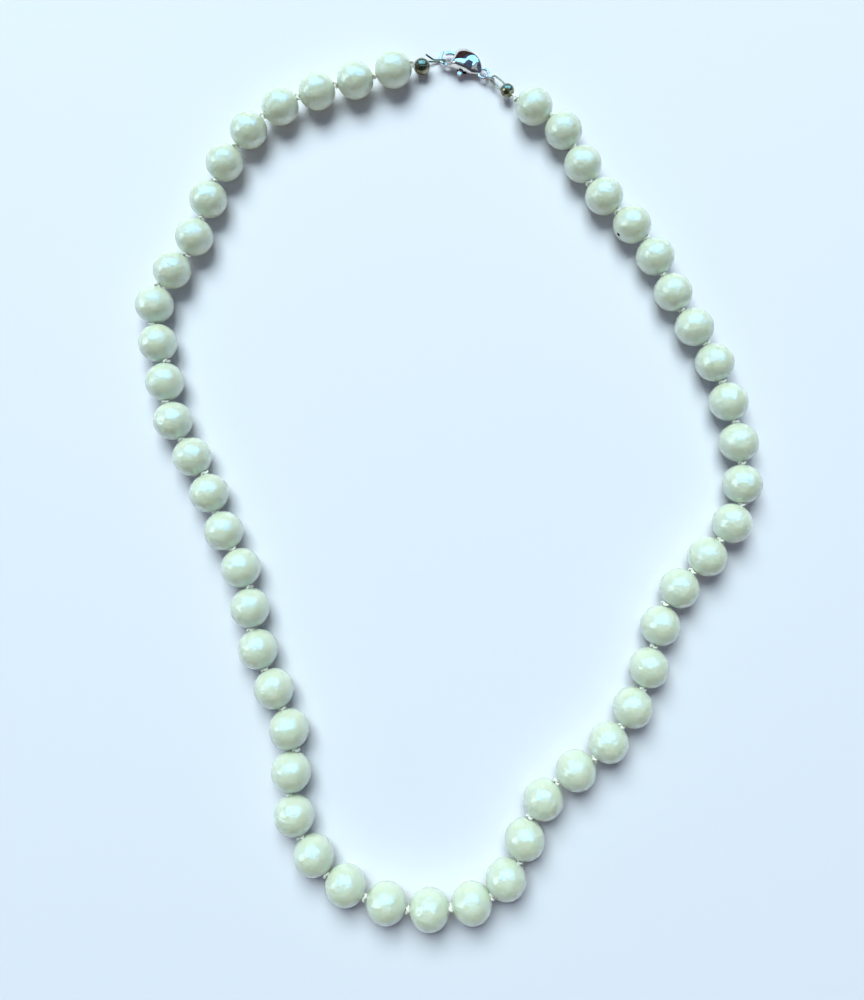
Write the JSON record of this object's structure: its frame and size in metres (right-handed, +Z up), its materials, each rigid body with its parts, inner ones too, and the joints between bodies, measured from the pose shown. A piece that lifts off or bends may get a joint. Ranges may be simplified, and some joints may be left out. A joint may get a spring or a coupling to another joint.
{
  "type": "faux pearl necklace",
  "caption": "Strand of round imitation pearls knotted on a thread, with bead tips, a jump ring and a small lobster clasp, closed and lying flat.",
  "frame": {"origin": "on the surface that the beads rest on, under the middle of the whole closed necklace's box", "axes": "+Z up from the surface; +Y from the beads at the front of the necklace towards its clasp; +X to the right"},
  "size_m": [0.1304, 0.1826, 0.008],
  "materials": {
    "pearl": "pearlescent lacquer, cream with a cool green sheen",
    "thread": "twisted off-white thread, knotted",
    "plated_metal": "polished silver-coloured plate, slightly tarnished"
  },
  "bodies": {
    "strand": {"bead_07": "pearl", "bead_08": "pearl", "bead_09": "pearl", "bead_10": "pearl", "bead_11": "pearl", "bead_12": "pearl", "bead_13": "pearl", "bead_14": "pearl", "bead_15": "pearl", "bead_16": "pearl", "bead_17": "pearl", "bead_18": "pearl", "bead_19": "pearl", "bead_20": "pearl", "bead_21": "pearl", "bead_22": "pearl", "bead_23": "pearl", "bead_24": "pearl", "bead_25": "pearl", "bead_26": "pearl", "bead_27": "pearl", "bead_28": "pearl", "bead_29": "pearl", "bead_30": "pearl", "bead_31": "pearl", "bead_32": "pearl", "bead_33": "pearl", "bead_34": "pearl", "bead_35": "pearl", "bead_36": "pearl", "bead_37": "pearl", "bead_38": "pearl", "bead_39": "pearl", "bead_40": "pearl", "bead_41": "pearl", "bead_42": "pearl", "bead_43": "pearl", "bead_44": "pearl", "bead_45": "pearl", "bead_46": "pearl", "bead_run_left": "pearl", "bead_run_right": "pearl", "thread": "thread", "bead_tip_left": "plated_metal", "bead_tip_right": "plated_metal", "jump_ring": "plated_metal", "clasp_body": "plated_metal"},
    "lever": {"clasp_lever": "plated_metal"}
  },
  "joints": [
    {"name": "lever_hinge", "type": "hinge", "parent": "strand", "child": "lever", "pos_m": [0.00474, 0.08792, 0.00142], "axis": [0, 0, 1], "range_deg": [0, 12], "stiffness_Nm_per_rad": 0.002, "springref_deg": -11.46}
  ]
}
